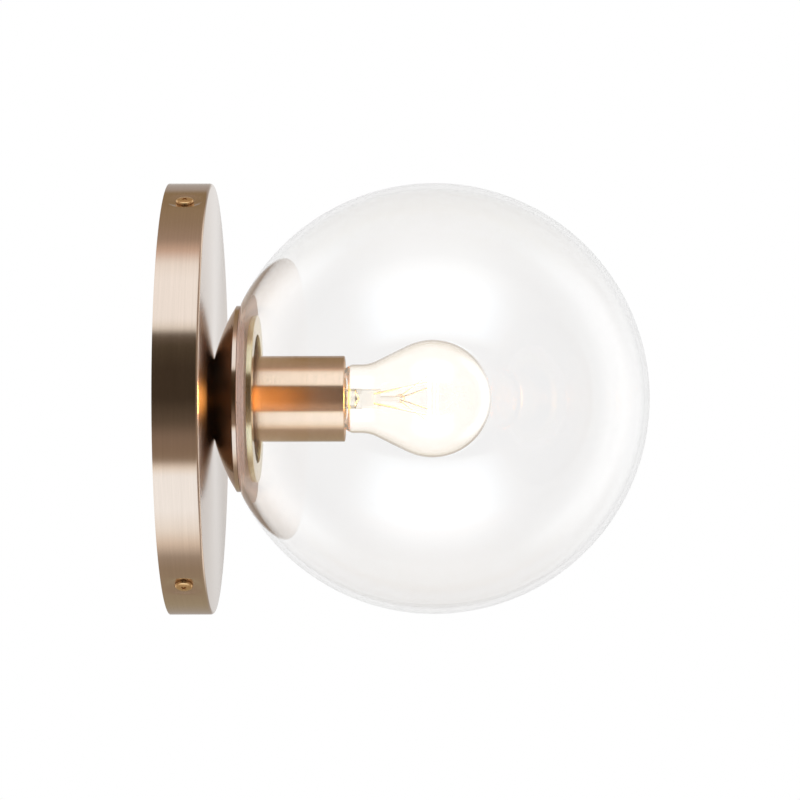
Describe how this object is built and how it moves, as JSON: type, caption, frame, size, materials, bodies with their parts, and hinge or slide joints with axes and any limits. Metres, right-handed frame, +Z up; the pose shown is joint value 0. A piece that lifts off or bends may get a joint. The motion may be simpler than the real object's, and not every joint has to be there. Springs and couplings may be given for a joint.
{
  "type": "globe wall sconce",
  "caption": "Wall sconce: round brushed canopy, small dish, socket sleeve with a clear screw-base lamp, and a clear glass globe that unscrews from the dish.",
  "frame": {"origin": "centre of the canopy's back, on the wall plane", "axes": "+Z up on the wall, -Y away from the wall into the room along the lamp's axis, +X to the right seen from the room"},
  "size_m": [0.2022, 0.222, 0.2],
  "materials": {
    "rose_gold": "brushed, lacquered copper-bronze plate",
    "pale_gold": "satin turned brass",
    "screw_brass": "machined, lightly polished",
    "zinc_steel": "bright zinc plate",
    "yellow_brass": "turned",
    "clear_globe": "clear blown glass",
    "clear_silicone": "translucent silicone",
    "black_phenolic": "moulded",
    "white_ceramic": "unglazed",
    "shell_metal": "drawn sheet",
    "spring_bronze": "rolled sheet",
    "lamp_glass": "clear thin blown glass",
    "stem_glass": "clear pressed glass",
    "lamp_base_metal": "rolled thin sheet",
    "black_glass": "vitreous insulator",
    "solder": "dull solder",
    "wire_metal": "drawn wire",
    "tungsten": "glowing coil",
    "white_nylon": "moulded",
    "live_insulation": "extruded",
    "neutral_insulation": "extruded",
    "earth_insulation": "extruded, with a yellow stripe",
    "earth_green": "green passivated"
  },
  "bodies": {
    "fixture": {"wall_canopy": "rose_gold", "mounting_plate": "zinc_steel", "earth_screw": "earth_green", "earth_tag": "shell_metal", "threaded_nipple": "zinc_steel", "nipple_nuts": "zinc_steel", "lock_washer": "zinc_steel", "nipple_bush": "black_phenolic", "glass_dish": "rose_gold", "socket_sleeve": "rose_gold", "holder_cap": "black_phenolic", "holder_insert": "white_ceramic", "holder_terminals": "yellow_brass", "contact_rivets": "yellow_brass", "centre_contact": "spring_bronze", "shell_contact": "spring_bronze", "screw_shell": "shell_metal", "holder_skirt": "black_phenolic", "terminal_block": "white_nylon", "terminal_sleeves": "yellow_brass", "terminal_screws": "zinc_steel", "block_fixing_screw": "zinc_steel", "live_wire": "live_insulation", "neutral_wire": "neutral_insulation", "earth_wire": "earth_insulation"},
    "gasket": {"globe_gasket": "clear_silicone"},
    "globe": {"globe_glass": "clear_globe", "fitter_collar": "pale_gold", "collar_bond": "clear_silicone"},
    "lamp": {"lamp_envelope": "lamp_glass", "lamp_base": "lamp_base_metal", "lamp_insulator": "black_glass", "lamp_contact": "solder", "lamp_stem": "stem_glass", "lamp_lead_ins": "wire_metal", "lamp_supports": "wire_metal", "lamp_filament": "tungsten"},
    "screw_upper": {"canopy_screw_upper": "screw_brass"},
    "screw_lower": {"canopy_screw_lower": "screw_brass"},
    "screw_far": {"canopy_screw_far": "screw_brass"}
  },
  "joints": [
    {"name": "globe_turn", "type": "hinge", "parent": "fixture", "child": "gasket", "pos_m": [0, -0.0326, 0], "axis": [0, -1, 0], "range_deg": [0, 540]},
    {"name": "globe_off", "type": "slide", "parent": "gasket", "child": "globe", "axis": [0, -1, 0], "range_m": [0, 0.13]},
    {"name": "lamp_out", "type": "slide", "parent": "fixture", "child": "lamp", "axis": [0, -1, 0], "range_m": [0, 0.027]},
    {"name": "screw_upper_out", "type": "slide", "parent": "fixture", "child": "screw_upper", "axis": [-0.4501, 0, 0.893], "range_m": [0, 0.0085]},
    {"name": "screw_lower_out", "type": "slide", "parent": "fixture", "child": "screw_lower", "axis": [-0.5483, 0, -0.8363], "range_m": [0, 0.0085]},
    {"name": "screw_far_out", "type": "slide", "parent": "fixture", "child": "screw_far", "axis": [0.9984, 0, -0.0567], "range_m": [0, 0.0085]}
  ]
}
